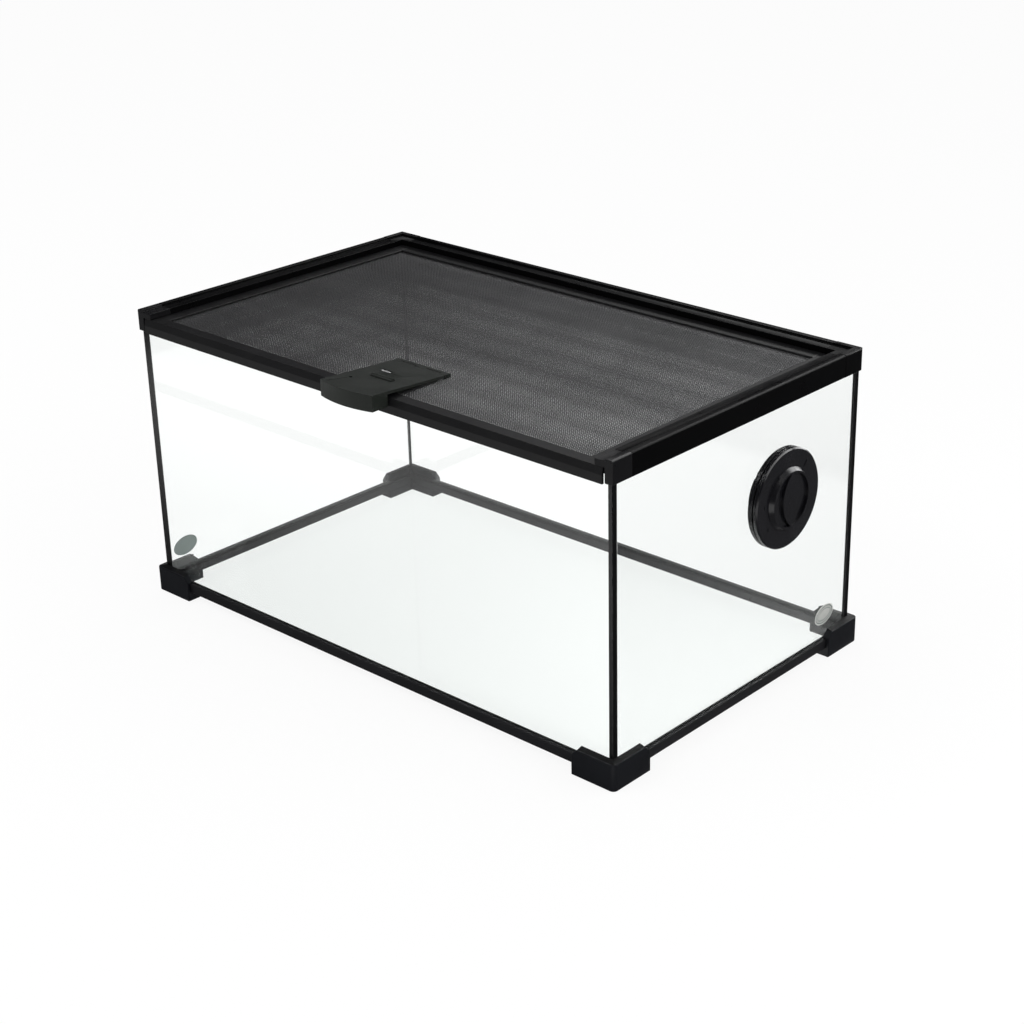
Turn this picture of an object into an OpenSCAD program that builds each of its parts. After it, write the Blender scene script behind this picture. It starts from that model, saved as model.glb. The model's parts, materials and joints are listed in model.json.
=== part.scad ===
// Small glass terrarium: five glass panes in a plastic foot, rail and rim set,
// with a sliding mesh lid, a lid latch and a capped port in one end pane.
// Length runs along X, the front faces -Y, Z is up. The origin lies on the
// standing plane, midway between the four feet.

/* [Tank] */
// Outer length of the glass box
tank_len = 301.6; // [240:1:400]
// Outer depth of the glass box
tank_dep = 176.6; // [140:1:240]
// Thickness of every pane
glass_t = 2.5; // [2:0.1:5]
// Height of the top edge of the front pane over the ground
front_pane_top = 144.5; // [120:0.5:220]
// Joint left for silicone between neighbouring panes
joint_gap = 0.4; // [0.2:0.1:1.5]
// Leg of the silicone fillet inside each upright corner
fillet_leg = 0.7; // [0.3:0.1:4]

/* [Bottom Rails] */
// Height of the rail underside over the ground
rail_lift = 4.4; // [2:0.1:10]
// Thickness of the rail web under the wall panes
rail_web = 1.2; // [0.8:0.1:3]
// Height of the outer rail flange
rail_h = 4.9; // [3:0.1:14]
// Thickness of the outer rail flange
rail_out_t = 1.7; // [1:0.1:4]
// Width of the ledge inside the panes
ledge_w = 1.4; // [1:0.1:8]
// Height of that ledge over the rail underside
ledge_h = 3.9; // [3:0.1:8]
// Gap left where two rails meet inside a foot
rail_butt = 0.1; // [0.05:0.05:0.5]

/* [Feet] */
// Height of the foot walls over the ground
foot_h = 13; // [10:0.1:25]
// Thickness of the outer foot walls
foot_wall = 1.9; // [1:0.1:4]
// Length of each outer foot arm, from its outer corner
foot_arm = 24.4; // [15:0.1:40]
// Width of the chamfer at the end of each outer arm
foot_chamfer = 3; // [0.5:0.1:6]
// Radius of the upright outer edge of each foot
foot_round = 2.5; // [0.5:0.1:4]
// Gap between a foot and the glass, and over the rail it covers
foot_gap = 0.1; // [0.05:0.05:0.5]
// Width of the silicone bead on top of each foot
bead_w = 2.8; // [1:0.1:3]
// Height of that bead at the glass
bead_h = 0.7; // [0.3:0.1:2]
// Gap between the floor pane edge and the wall panes
floor_gap = 0.3; // [0.1:0.05:1]
// Thickness of the silicone bed under the floor pane
floor_bed = 0.2; // [0.1:0.05:0.5]
// Distance of that bed from the inner edge of the ledge
bed_in = 0.2; // [0.1:0.1:1]

/* [Top Rim] */
// Thickness of the outer skirt of the rim
rim_skirt_t = 1.2; // [1:0.1:4]
// Length of the skirt below the top edge of the side panes
rim_skirt_drop = 7.8; // [4:0.1:14]
// Height of the ridge above the top edge of the side panes
ridge_h = 3; // [1.5:0.1:6]
// Radius of the outer top edge of the ridge
ridge_r = 1; // [0.3:0.1:1.9]
// Thickness of the inner rim wall
rim_wall_t = 2.1; // [0.8:0.1:3]
// Reach of the lid lip, inward from the inner face of the pane
lip_reach = 5.8; // [3:0.1:9]
// Height of the lip above the ridge underside
lip_rise = 2; // [0.5:0.1:2.8]
// Thickness of the flange under the lid groove
flange_t = 1; // [0.6:0.1:3]
// Length of each arm of a rear rim corner
corner_arm = 14.5; // [12:0.1:40]
// Step by which a rear rim corner stands out past the rails
corner_proud = 0.1; // [0.05:0.05:1]
// Length of a front end cap along the side
cap_len = 12.5; // [8:0.1:30]
// Thickness of the front wall of an end cap
cap_front_t = 1.2; // [1:0.1:4]
// Lap of an end cap over the ends of the front pane
cap_lap = 3; // [2.6:0.1:6]
// Radius of the upright front edge of an end cap
cap_round = 0.4; // [0.2:0.1:1]
// Radius of the upright edge of a rear rim corner
upright_r = 2.2; // [0.5:0.1:4]
// Depth of the side and back panes above the lid groove
pane_in_rim = 0.9; // [0.3:0.1:2]

/* [Lid] */
// Thickness of the lid frame bars
lid_t = 2.7; // [2:0.1:5]
// Gap between the front pane and the lid above it
lid_clear = 0.3; // [0.2:0.1:1]
// Play of the lid above and below its bars
lid_play = 0.1; // [0.05:0.05:0.4]
// Play of the lid frame sideways in its grooves
lid_side_play = 0.7; // [0.2:0.1:1.5]
// Width of the side and back bars
bar_w = 10.2; // [7:0.1:20]
// Distance from the front of the glass to the back edge of the front bar
front_bar_back = 4.8; // [3:0.1:12]
// Distance from the front of the glass to the front bar face
front_bar_out = 1.6; // [1.5:0.1:5]
// Thickness of the front bar skirt
skirt_t = 1.2; // [1:0.1:3]
// Length of the front bar skirt below the bar underside
skirt_drop = 4.6; // [2:0.1:10]
// Lean of the upper half of the front bar face
face_lean = 0.7; // [0.2:0.1:1.5]
// Distance of the break in that face below the bar underside
face_break = 0.7; // [0.2:0.1:2]
// Gap between each end of the front bar and the end cap
bar_end_gap = 1; // [0.4:0.1:3]
// Width of the spline rebate under each bar
rebate_w = 2.5; // [1.5:0.1:4]
// Depth of the spline rebate
rebate_h = 1.6; // [1:0.1:2]
// Thickness of the mesh
mesh_t = 0.4; // [0.3:0.05:0.8]
// Width of the spline
spline_w = 2; // [1:0.1:2.3]
// Number of mesh gaps along the length
mesh_nx = 20; // [6:1:20]
// Number of mesh gaps along the depth
mesh_ny = 14; // [4:1:14]
// Width of one mesh wire
wire_w = 0.9; // [0.5:0.1:2]
// Gap round the mesh in its rebate, and under the spline
mesh_gap = 0.1; // [0.05:0.05:0.3]
// Length of a joint key in the butted bar
key_arm = 12; // [6:0.5:20]
// Length of a joint key in the crossing bar
key_in = 5; // [3:0.5:6]
// Width of a joint key
key_w = 4; // [2:0.1:6]
// Thickness of a joint key
key_t = 0.8; // [0.5:0.1:0.9]

/* [Latch] */
// Middle of the latch along the length
latch_x = 7.8; // [-60:0.1:60]
// Width of the latch lever
lever_w = 33; // [20:0.5:50]
// Thickness of the lever plate
lever_t = 1.4; // [1:0.1:1.5]
// Distance of the hinge pin behind the front of the glass
hinge_in = 34.3; // [25:0.1:50]
// Height of the hinge pin over the mesh
hinge_rise = 1; // [0.9:0.05:1.5]
// Radius of the hinge pin
hinge_r = 0.4; // [0.3:0.05:0.6]
// Clearance of the pin where it sits fast in the base
pin_press = 0.01; // [0.01:0.01:0.03]
// Running clearance around the hinge pin
hinge_fit = 0.05; // [0.02:0.01:0.1]
// Depth at which grip and tooth join the lever plate
plate_skin = 0.2; // [0.1:0.05:0.5]
// Slope of the lifted lever in degrees
lever_slope = 3.9; // [3.5:0.1:6]
// Gap between the grip and the front bar face
grip_gap = 0.4; // [0.3:0.05:1]
// Reach of the finger grip in front of the glass
grip_out = 13.7; // [10:0.1:20]
// Height of the finger grip
grip_h = 7.9; // [6:0.1:12]
// Wall thickness of the finger grip
grip_t = 1.8; // [1.2:0.1:3]
// Bulge of the front face of the grip
grip_bulge = 2.5; // [1:0.1:4]
// Width of the latch base plates
base_w = 26; // [16:0.5:40]
// Thickness of the upper base plate
base_t = 0.4; // [0.3:0.05:0.8]
// Width of the locking tooth
tooth_w = 11; // [6:0.5:16]
// Thickness of the locking tooth
tooth_t = 1.8; // [1:0.1:2]
// Gap between the tooth and the back face of the front pane
tooth_gap = 0.3; // [0.2:0.1:1]
// Gap between the lifted tooth and the top edge of the front pane
tooth_lift = 0.2; // [0.1:0.05:0.5]
// Radius of a rivet
rivet_r = 0.9; // [0.6:0.1:1.2]
// Extra radius of a rivet head
rivet_head = 0.3; // [0.1:0.1:0.6]
// Thickness of a rivet head
head_t = 0.4; // [0.2:0.1:0.5]
// Distance of the rivets from the sides of the base
rivet_in = 3; // [2:0.1:5]
// Distance of the front mesh rivets behind the front bar
rivet_front = 5.5; // [3:0.1:9]
// Distance of the rear mesh rivets in front of the hinge
rivet_rear = 5; // [3:0.1:9]
// Distance of the bar rivets from the back edge of the front bar
rivet_bar = 1.5; // [1.3:0.1:1.8]
// Gap between the tooth and the sides of its slot
tooth_side = 0.4; // [0.2:0.1:0.8]
// Gap between the tooth and the ends of its slot
slot_gap = 0.4; // [0.3:0.1:0.9]
// Inset of the hinge knuckles, as a share of the lever width
knuckle_in = 0.12; // [0.05:0.01:0.15]
// Length of one hinge knuckle, as a share of the lever width
knuckle_share = 0.28; // [0.2:0.01:0.3]
// Gap between a knuckle and the mesh below it
knuckle_under = 0.1; // [0.05:0.05:0.3]
// Gap between a knuckle and the base beside it
knuckle_gap = 0.15; // [0.05:0.05:0.3]
// Gap between a knuckle and the base round it
knuckle_clear = 0.25; // [0.1:0.05:0.4]
// Length of the base behind the knuckles
base_tail = 1.8; // [1:0.1:4]
// Length of the hinge pin short of each side of the lever
pin_in = 0.5; // [0.2:0.1:2]
// Distance of the pocket middle in front of the hinge
pocket_y = 15.6; // [8:0.1:18]
// Distance of the pocket middle left of the latch middle
pocket_x = 5.8; // [0:0.1:9]
// Length of the straight part of the pocket
pocket_len = 4.6; // [2:0.1:8]
// Radius of the pocket ends
pocket_r = 1.2; // [0.8:0.1:2]
// Depth of the pocket
pocket_h = 0.8; // [0.5:0.05:1]
// Radius of the stud in the pocket
stud_r = 0.4; // [0.3:0.05:0.6]
// Length of the stud in the pocket
stud_len = 5.6; // [3:0.1:6]
// Distance of the thumb rib in front of the hinge
rib_y = 24.5; // [19:0.1:28]
// Length of the thumb rib
rib_len = 13; // [6:0.1:20]
// Distance of the thumb rib middle left of the latch middle
rib_x = -1; // [-4:0.1:4]
// Radius of the thumb rib
rib_r = 1.25; // [0.8:0.05:1.6]
// Distance of the round mark in front of the hinge
mark_y = 33.5; // [29:0.1:38]
// Distance of the round mark left of the latch middle
mark_x = 10; // [8:0.1:13]
// Radius of the round mark
mark_r = 0.9; // [0.5:0.1:1.5]
// Depth of the round mark
mark_h = 0.8; // [0.3:0.1:1]
// Length of the slit that starts at the round mark
slit_len = 11.9; // [4:0.1:14]
// Width of that slit
slit_w = 0.4; // [0.2:0.1:0.8]
// Depth of that slit
slit_h = 0.6; // [0.3:0.1:1]
// Turn of that slit in degrees
slit_turn = 17; // [0:0.1:40]

/* [Port] */
// Position of the port axis along the depth
port_y = 27.1; // [-30:0.1:40]
// Height of the port axis over the ground
port_z = 97.5; // [60:0.1:110]
// Radius of the hole in the pane
hole_r = 15.5; // [15:0.1:24]
// Gap between the hole and the barrel
barrel_gap = 0.5; // [0.2:0.1:1]
// Wall thickness of the barrel
barrel_t = 1.6; // [1.5:0.1:3]
// Width of the outer flange past the barrel
flange_w = 8.75; // [3:0.05:10]
// Thickness of the outer flange
port_flange_t = 1.7; // [1.5:0.1:4]
// Thickness of the gasket under the flange
gasket_t = 0.8; // [0.5:0.1:2]
// Width of the gasket
gasket_w = 7.6; // [2:0.1:8]
// Gap between the barrel and the gasket
gasket_gap = 0.6; // [0.2:0.1:1]
// Length of the barrel behind the inner face of the pane
barrel_tail = 3.5; // [3:0.1:10]
// Thickness of the inner nut
nut_t = 3; // [2:0.1:3.4]
// Width of the inner nut past the barrel
nut_w = 2.5; // [2:0.1:6]
// Radius of the finger notches round the nut
nut_notch = 1.2; // [0.8:0.1:2]
// Gap in the thread between nut and barrel
nut_fit = 0.05; // [0.02:0.01:0.1]
// Thickness of the seal between flange and cap
seal_t = 0.6; // [0.4:0.1:1.5]
// Gap between that seal and the plug
seal_gap = 0.1; // [0.05:0.05:0.4]
// Width of that seal
seal_w = 9.1; // [2:0.1:10]
// Thickness of the cap disc
cap_t = 2.24; // [1.5:0.01:4]
// Step from the flange edge in to the cap edge
cap_step = 0.03; // [0:0.01:0.5]
// Bevel of the cap edge
cap_edge = 0.6; // [0.2:0.1:1]
// Depth of the marks cut into the cap
cap_mark_h = 0.3; // [0.1:0.05:0.8]
// Turn of the index mark from the rear, in degrees
index_turn = 48; // [0:1:90]
// Length of the index mark
index_len = 3.4; // [1:0.1:4]
// Width of the index mark
index_w = 0.8; // [0.4:0.1:1.5]
// Distance of the index mark from the knob
index_gap = 1.4; // [0.5:0.1:3]
// Radius of the two dots
dot_r = 0.8; // [0.4:0.1:1.2]
// Distance of the two dots from the knob
dot_gap = 3.4; // [1:0.1:5]
// Play of the cap plug in the barrel
plug_fit = 0.1; // [0.05:0.05:0.4]
// Wall thickness of the cap plug
plug_t = 1.5; // [1:0.1:3]
// Length of the cap plug
plug_len = 7.9; // [4:0.1:9]
// Radius of the turning knob at its base
knob_r = 15; // [10:0.1:18]
// Height of the knob
knob_h = 2; // [1.5:0.1:6]
// Taper of the knob side
knob_taper = 1.4; // [0.2:0.1:2]
// Width of the rim round the finger recess
recess_rim = 0.9; // [0.4:0.1:2]
// Depth of the finger recess in the knob
recess_h = 1.3; // [0.5:0.1:1.4]
// Width of the grip in the knob
grip_w = 13; // [10:0.1:20]
// Length of the grip in the knob
grip_l = 26; // [18:0.1:26]
// Radius of the knob shaft
shaft_r = 3; // [2:0.1:5]
// Wall round the knob shaft inside the cap
hub_wall = 2; // [1:0.1:4]
// Running clearance around the knob shaft
shaft_fit = 0.05; // [0.02:0.01:0.1]
// Width of the locking bar behind the barrel
lug_w = 8; // [4:0.1:12]
// Thickness of the locking bar
lug_t = 1.3; // [1:0.1:3]
// Overlap of the locking bar behind the barrel wall
lug_over = 1.2; // [0.6:0.1:1.4]
// Play between the barrel end and the locking bar
lug_play = 0.3; // [0.1:0.1:1]
// Play of the locking bar in its slots through the barrel
lug_slot = 0.2; // [0.1:0.1:0.5]
// Radius of the screw
screw_r = 1.2; // [0.8:0.1:1.6]
// Depth of the screw in the shaft
screw_in = 7; // [4:0.5:10]
// Gap left in front of the screw tip
screw_tip = 0.2; // [0.1:0.1:1]
// Radius of the screw head
screw_head_r = 2.6; // [1.8:0.1:4]
// Thickness of the screw head
screw_head_t = 1.4; // [0.8:0.1:2.5]
// Length of the cross recess in the screw head
screw_slot = 3.6; // [2:0.1:4]
// Width and depth of that cross recess
screw_slot_w = 0.6; // [0.3:0.1:0.8]
// Gap round the screw in the locking bar
screw_fit = 0.05; // [0.02:0.01:0.1]

/* [Stickers] */
// Width of both oval stickers
sticker_w = 15; // [8:0.1:24]
// Height of both oval stickers
sticker_h = 9.9; // [6:0.1:16]
// Thickness of both stickers
sticker_t = 0.2; // [0.1:0.05:0.5]
// Tilt of both stickers, rising towards the rear, in degrees
sticker_tilt = 8; // [0:1:30]
// Distance of the left sticker behind the front of the glass
sticker_left_in = 13.4; // [9:0.1:60]
// Height of the left sticker over the ground
sticker_left_z = 20.6; // [19:0.1:60]
// Distance of the right sticker in front of the back of the glass
sticker_right_in = 20.8; // [9:0.1:60]
// Height of the right sticker over the ground
sticker_right_z = 22.3; // [19:0.1:60]

/* [Hidden] */
$fn = 96;
L = tank_len / 2;
D = tank_dep / 2;
// Levels of the bottom set
pane_z0 = rail_lift + rail_web;
rail_top = rail_lift + rail_h;
ledge_top = rail_lift + ledge_h;
floor_z0 = ledge_top + floor_bed;
floor_top = floor_z0 + glass_t;
// Inner face of the rails and edge of the floor pane, inward from the pane face
in_face = glass_t + ledge_w;
floor_edge = glass_t + floor_gap;
foot_out = rail_out_t + foot_wall;
// Levels of the rim and lid
lid_z0 = front_pane_top + lid_clear;
lid_top = lid_z0 + lid_t;
flange_top = lid_z0 - lid_play;
lip_z0 = lid_top + lid_play;
side_pane_top = lip_z0 + pane_in_rim;
lip_top = side_pane_top + lip_rise;
ridge_top = side_pane_top + ridge_h;
rim_bottom = side_pane_top - rim_skirt_drop;
wall_in = glass_t + rim_wall_t;
lip_in = glass_t + lip_reach;
lid_out = wall_in + lid_side_play;
bar_in = lid_out + bar_w;
cap_front = D + cap_front_t;
cap_face = L - cap_lap;
rear_joint = D + rim_skirt_t - corner_arm;
// Lid frame limits
bar_x1 = L - lid_out;
bar_x0 = L - bar_in;
back_y1 = D - lid_out;
back_y0 = D - bar_in;
front_y1 = -D + front_bar_back;
front_y0 = -D - front_bar_out;
rebate_z = lid_z0 + rebate_h;
rebate_y0 = front_y1 - rebate_w;
rebate_y1 = back_y0 + rebate_w;
rebate_x = bar_x0 + rebate_w;
mesh_z0 = rebate_z - mesh_t;
bar_end = cap_face - bar_end_gap;
skirt_z0 = lid_z0 - skirt_drop;
key_z = lid_z0 + (lid_t - key_t) / 2;
// Latch stations, the hinge axis first
hinge_y = -D + hinge_in;
hinge_z = rebate_z + hinge_rise;
knuckle_r = hinge_rise - knuckle_under;
lx0 = latch_x - lever_w / 2;
lx1 = latch_x + lever_w / 2;
lever_len = hinge_in + grip_out;
grip_back = front_y0 - grip_gap;
grip_r = (pow(lever_w / 2, 2) + pow(grip_bulge, 2)) / (2 * grip_bulge);
grip_z0 = hinge_z + knuckle_r + lever_len * tan(lever_slope) - grip_h;
tooth_y0 = -D + glass_t + tooth_gap;
tooth_y1 = tooth_y0 + tooth_t;
tooth_tip = front_pane_top + tooth_lift;
base_back = hinge_y + knuckle_r + base_tail;
bx0 = latch_x - base_w / 2;
bx1 = latch_x + base_w / 2;
head_r = rivet_r + rivet_head;
rivet_x = base_w / 2 - rivet_in;
mesh_rivet_y = [front_y1 + rivet_front, hinge_y - rivet_rear];
bar_rivet_y = front_y1 - rivet_bar;
pocket_z = knuckle_r - pocket_h;
// Port stations along X
gasket_x1 = L + gasket_t;
flange_x1 = gasket_x1 + port_flange_t;
seal_x1 = flange_x1 + seal_t;
cap_x1 = seal_x1 + cap_t;
knob_x0 = cap_x1 + shaft_fit;
barrel_x0 = L - glass_t - barrel_tail;
barrel_r = hole_r - barrel_gap;
flange_r = barrel_r + flange_w;
cap_r = flange_r - cap_step;
bore_r = barrel_r - barrel_t;
plug_r = bore_r - plug_fit;
plug_x0 = seal_x1 - plug_len;
lug_x1 = barrel_x0 - lug_play;
lug_x0 = lug_x1 - lug_t;
lug_half = bore_r + lug_over;
hub_r = shaft_r + hub_wall;
nut_r = barrel_r + nut_w;
nut_x0 = L - glass_t - nut_t;
knob_top_r = knob_r - knob_taper;
recess_r = knob_top_r - recess_rim;
lens_r = (pow(grip_l, 2) / 4 + pow(grip_w, 2) / 4) / grip_w;
// Length by which a cutter runs past the surface that it opens
past = 1;
// Points of a sticker outline, and the step between them in degrees
oval_step = 5;
oval = [for (a = [0:oval_step:360 - oval_step]) [sticker_h / 2 * cos(a), sticker_w / 2 * sin(a)]];
// Turns of the two dots on the cap, in degrees from the rear
dot_turns = [176, 214];
// Turns of the finger notches round the nut
nut_turns = [0:45:315];

// A box given by its lower and upper corner
module span(a, b) {
  translate(a) cube([b[0] - a[0], b[1] - a[1], b[2] - a[2]]);
}

// A disc or tube along +X, starting at x
module rod_x(x, len, r) {
  translate([x, port_y, port_z]) rotate([0, 90, 0]) cylinder(h = len, r = r);
}

module glass_front() {
  color([0.8, 0.88, 0.86, 0.3])
    span([-L, -D, pane_z0], [L, -D + glass_t, front_pane_top]);
}

module glass_back() {
  color([0.8, 0.88, 0.86, 0.3])
    span([-L, D - glass_t, pane_z0], [L, D, side_pane_top]);
}

module end_pane() {
  span([L - glass_t, -D + glass_t + joint_gap, pane_z0], [L, D - glass_t - joint_gap, side_pane_top]);
}

module glass_left() {
  color([0.8, 0.88, 0.86, 0.3]) mirror([1, 0, 0]) end_pane();
}

module glass_right() {
  color([0.8, 0.88, 0.86, 0.3])
    difference() {
      end_pane();
      rod_x(L - glass_t - past, glass_t + 2 * past, hole_r);
    }
}

module glass_floor() {
  color([0.8, 0.88, 0.86, 0.3])
    span([-L + floor_edge, -D + floor_edge, floor_z0], [L - floor_edge, D - floor_edge, floor_top]);
}

// Silicone of the front right corner: the joint strip and the inner fillet
module corner_seal(top) {
  x1 = L;
  x0 = L - glass_t;
  y0 = -D + glass_t;
  y1 = y0 + joint_gap;
  span([x0, y0, pane_z0], [x1, y1, top]);
  translate([0, 0, floor_top])
    linear_extrude(height = rim_bottom - floor_top)
      polygon([[x0, y0], [x0, y1 + fillet_leg], [x0 - fillet_leg, y0]]);
}

module corner_seals() {
  color([0.06, 0.06, 0.06]) {
    corner_seal(front_pane_top);
    mirror([1, 0, 0]) corner_seal(front_pane_top);
    mirror([0, 1, 0]) corner_seal(side_pane_top);
    mirror([1, 0, 0]) mirror([0, 1, 0]) corner_seal(side_pane_top);
  }
}

// Bed between the floor pane and the ledges of the rails
module floor_seal() {
  x = L - in_face + bed_in;
  y = D - in_face + bed_in;
  color([0.1, 0.1, 0.1])
    difference() {
      span([-L + glass_t, -D + glass_t, ledge_top], [L - glass_t, D - glass_t, floor_z0]);
      span([-x, -y, ledge_top - past], [x, y, floor_z0 + past]);
    }
}

// Bead on top of one arm of the rear right foot, from x0 to x1 along the back pane
module back_bead(x0, x1) {
  translate([x0, D, foot_h]) rotate([90, 0, 90])
    linear_extrude(height = x1 - x0) polygon([[0, 0], [bead_w, 0], [0, bead_h]]);
}

// Bead on top of the other arm, from y0 to y1 along the right pane
module side_bead(y0, y1) {
  translate([L, y1, foot_h]) rotate([90, 0, 0])
    linear_extrude(height = y1 - y0) polygon([[0, 0], [bead_w, 0], [0, bead_h]]);
}

// Silicone bead between the rear right foot and the glass
module foot_bead() {
  arm = foot_arm - foot_chamfer - foot_out;
  back_bead(L - arm, L);
  side_bead(D - arm, D);
  intersection() {
    back_bead(L, L + bead_w);
    side_bead(D, D + bead_w);
  }
}

module foot_seals() {
  color([0.06, 0.06, 0.06])
    for (mx = [0, 1])
      for (my = [0, 1]) mirror([mx, 0, 0]) mirror([0, my, 0]) foot_bead();
}

// Front bottom rail: a channel under the front pane with a ledge for the floor pane
module long_rail() {
  x1 = L + rail_out_t;
  x = L - glass_t;
  span([-x1, -D - rail_out_t, rail_lift], [x1, -D + in_face, pane_z0]);
  span([-x1, -D - rail_out_t, rail_lift], [x1, -D, rail_top]);
  span([-x, -D + glass_t, rail_lift], [x, -D + in_face, ledge_top]);
}

// Right bottom rail, butted against the long rails
module end_rail() {
  y_in = D - in_face - rail_butt;
  y_out = D - rail_butt;
  span([L - in_face, -y_in, rail_lift], [L + rail_out_t, y_in, pane_z0]);
  span([L - in_face, -y_in, rail_lift], [L - glass_t, y_in, ledge_top]);
  span([L, -y_out, pane_z0], [L + rail_out_t, y_out, rail_top]);
}

module bottom_rail_front() {
  color([0.2, 0.2, 0.21]) long_rail();
}

module bottom_rail_back() {
  color([0.2, 0.2, 0.21]) mirror([0, 1, 0]) long_rail();
}

module bottom_rail_left() {
  color([0.2, 0.2, 0.21]) mirror([1, 0, 0]) end_rail();
}

module bottom_rail_right() {
  color([0.2, 0.2, 0.21]) end_rail();
}

// Wall outline of a foot, from its free end at a to the corner at b
module foot_profile(a, b) {
  polygon([[a, 0], [b, 0], [b, foot_h], [a + foot_chamfer, foot_h], [a, foot_h - foot_chamfer]]);
}

// Both outer walls of the rear right foot, t thick, standing out to the foot's outer faces
module foot_walls(t) {
  ox = L + foot_out;
  oy = D + foot_out;
  translate([0, oy, 0]) rotate([90, 0, 0]) linear_extrude(height = t) foot_profile(ox - foot_arm, ox);
  translate([ox - t, 0, 0]) rotate([90, 0, 90]) linear_extrude(height = t) foot_profile(oy - foot_arm, oy);
}

// Foot of the rear right corner: walls outside the rails, a cover over them and a block below
module foot() {
  ox = L + foot_out;
  oy = D + foot_out;
  ix = L - in_face;
  iy = D - in_face;
  difference() {
    union() {
      foot_walls(foot_wall);
      intersection() {
        foot_walls(foot_out - foot_gap);
        span([ix, iy, rail_top + foot_gap] - [foot_arm, foot_arm, 0], [ox + past, oy + past, foot_h + past]);
      }
      span([ox - foot_arm, iy, 0], [ox, oy, rail_lift]);
      span([ix, oy - foot_arm, 0], [ox, oy, rail_lift]);
    }
    translate([ox, oy, -past]) linear_extrude(height = foot_h + 2 * past) edge_notch(foot_round);
  }
}

module foot_front_left() {
  color([0.18, 0.18, 0.2]) mirror([1, 0, 0]) mirror([0, 1, 0]) foot();
}

module foot_front_right() {
  color([0.18, 0.18, 0.2]) mirror([0, 1, 0]) foot();
}

module foot_rear_left() {
  color([0.18, 0.18, 0.2]) mirror([1, 0, 0]) foot();
}

module foot_rear_right() {
  color([0.18, 0.18, 0.2]) foot();
}

// Square less a quarter disc, the cutter for one rounded edge at the origin
module edge_notch(r) {
  difference() {
    translate([-r, -r]) square(r + past);
    translate([-r, -r]) circle(r = r);
  }
}

// Rim section, measured outward from the outer face of the pane
module rim_section() {
  difference() {
    polygon([
      [rim_skirt_t, rim_bottom], [0, rim_bottom], [0, side_pane_top],
      [-glass_t, side_pane_top], [-glass_t, rim_bottom], [-wall_in, rim_bottom],
      [-wall_in, flange_top - flange_t], [-lip_in, flange_top - flange_t],
      [-lip_in, flange_top], [-wall_in, flange_top], [-wall_in, lip_z0],
      [-lip_in, lip_z0], [-lip_in, lip_top], [-glass_t, lip_top],
      [-glass_t, ridge_top], [rim_skirt_t, ridge_top]
    ]);
    translate([rim_skirt_t, ridge_top]) edge_notch(ridge_r);
  }
}

// Length of rim along the right side
module rim_side(y0, y1) {
  translate([L, y1, 0]) rotate([90, 0, 0]) linear_extrude(height = y1 - y0) rim_section();
}

module side_rail() {
  rim_side(-cap_front + cap_len, rear_joint);
}

module top_rail_left() {
  color([0.07, 0.07, 0.08]) mirror([1, 0, 0]) side_rail();
}

module top_rail_right() {
  color([0.07, 0.07, 0.08]) side_rail();
}

module top_rail_back() {
  x1 = L + rim_skirt_t - corner_arm;
  color([0.07, 0.07, 0.08])
    translate([-x1, D, 0]) rotate([90, 0, 90]) linear_extrude(height = 2 * x1) rim_section();
}

// Two arms round the rear right corner, from u0 to u1 outward of the panes and from z0 to z1,
// lengthened by e past the free ends
module corner_band(u0, u1, z0, z1, e) {
  a = rim_skirt_t - corner_arm - e;
  difference() {
    span([L + a, D + a, z0], [L + u1, D + u1, z1]);
    span([L + a - past, D + a - past, z0 - past], [L + u0, D + u0, z1 + past]);
  }
}

// Rear right corner: the rim section led round the corner, with a rounded upright edge
module rim_corner() {
  out = rim_skirt_t + corner_proud;
  top = ridge_top + corner_proud;
  run = corner_arm + out + 2 * past;
  difference() {
    union() {
      corner_band(-wall_in, out, rim_bottom, top, 0);
      corner_band(-lip_in, 0, flange_top - flange_t, flange_top, 0);
      corner_band(-lip_in, 0, lip_z0, lip_top, 0);
    }
    corner_band(-glass_t, 0, rim_bottom - past, side_pane_top, past);
    corner_band(-lip_in - past, -glass_t, lip_top, top + past, past);
    translate([L + out, D + out + past, top]) rotate([90, 0, 0]) linear_extrude(height = run) edge_notch(ridge_r);
    translate([L + out + past - run, D + out, top]) rotate([90, 0, 90]) linear_extrude(height = run)
      edge_notch(ridge_r);
    translate([L + out, D + out, rim_bottom - past]) linear_extrude(height = top - rim_bottom + 2 * past)
      edge_notch(upright_r);
  }
}

module rim_corner_left() {
  color([0.07, 0.07, 0.08]) mirror([1, 0, 0]) rim_corner();
}

module rim_corner_right() {
  color([0.07, 0.07, 0.08]) rim_corner();
}

// End cap of the right side rail, closing the rim at the open front
module end_cap() {
  y_pane = -D + glass_t + joint_gap;
  in = L - cap_face;
  difference() {
    union() {
      rim_side(y_pane, -cap_front + cap_len);
      translate([L, y_pane, 0]) rotate([90, 0, 0])
        linear_extrude(height = cap_front + y_pane)
          difference() {
            polygon([
              [0, rim_bottom], [rim_skirt_t, rim_bottom], [rim_skirt_t, ridge_top],
              [-glass_t, ridge_top], [-glass_t, lip_top], [-lip_in, lip_top],
              [-lip_in, lip_z0], [-in, lip_z0], [-in, front_pane_top], [0, front_pane_top]
            ]);
            translate([rim_skirt_t, ridge_top]) edge_notch(ridge_r);
          }
      span([cap_face, -cap_front, rim_bottom], [L + rim_skirt_t / 2, -D, front_pane_top]);
    }
    translate([L + rim_skirt_t, -cap_front, rim_bottom - past])
      linear_extrude(height = ridge_top - rim_bottom + 2 * past) mirror([0, 1]) edge_notch(cap_round);
  }
}

module end_cap_left() {
  color([0.09, 0.09, 0.1]) mirror([1, 0, 0]) end_cap();
}

module end_cap_right() {
  color([0.09, 0.09, 0.1]) end_cap();
}

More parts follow.
